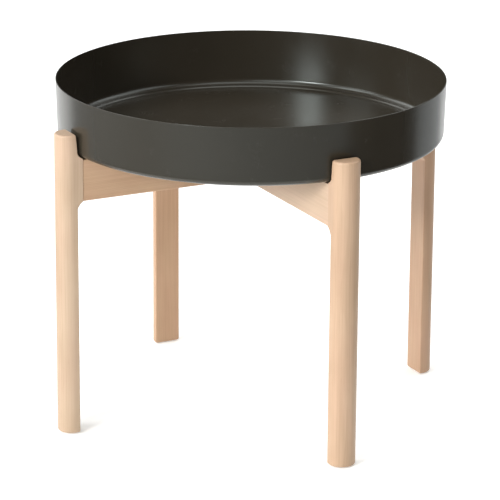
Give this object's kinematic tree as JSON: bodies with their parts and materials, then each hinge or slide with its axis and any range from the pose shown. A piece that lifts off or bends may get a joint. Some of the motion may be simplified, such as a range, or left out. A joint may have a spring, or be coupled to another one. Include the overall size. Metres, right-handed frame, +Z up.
{
  "type": "folding tray table",
  "caption": "Low round side table: a deep lift-off steel tray resting on two crossed wooden bars whose D-shaped legs rise beside it; the stand folds on a central pivot.",
  "frame": {"origin": "on the floor, under the stand's upright pivot", "axes": "+Z up; the lower crossbar lies along X, with the front left leg at -X and the back right leg at +X; the upper crossbar lies along Y, with the front right leg at -Y and the back left leg at +Y"},
  "size_m": [0.549, 0.549, 0.4426],
  "materials": {
    "tray_steel": "semi-matte dark warm grey powder coat",
    "birch": "light birch with clear matt lacquer",
    "dowel_wood": "plain turned beech",
    "glide_plastic": "off-white moulded nylon",
    "zinc": "zinc-plated steel",
    "nylon": "natural nylon"
  },
  "bodies": {
    "lower_frame": {"lower_crossbar": "birch", "front_left_leg": "birch", "front_left_dowels": "dowel_wood", "front_left_glide": "glide_plastic", "back_right_leg": "birch", "back_right_dowels": "dowel_wood", "back_right_glide": "glide_plastic", "pivot_sleeve": "zinc", "pivot_screw": "zinc", "top_washer": "zinc", "bottom_washer": "zinc", "lap_washer": "nylon"},
    "upper_frame": {"upper_crossbar": "birch", "front_right_leg": "birch", "front_right_dowels": "dowel_wood", "front_right_glide": "glide_plastic", "back_left_leg": "birch", "back_left_dowels": "dowel_wood", "back_left_glide": "glide_plastic"},
    "tray": {"tray": "tray_steel"}
  },
  "joints": [
    {"name": "stand_fold", "type": "hinge", "parent": "lower_frame", "child": "upper_frame", "pos_m": [0, 0, 0.338], "axis": [0, 0, 1], "range_deg": [0, 70]},
    {"name": "tray_lift", "type": "slide", "parent": "lower_frame", "child": "tray", "axis": [0, 0, 1], "range_m": [0, 0.15]}
  ]
}
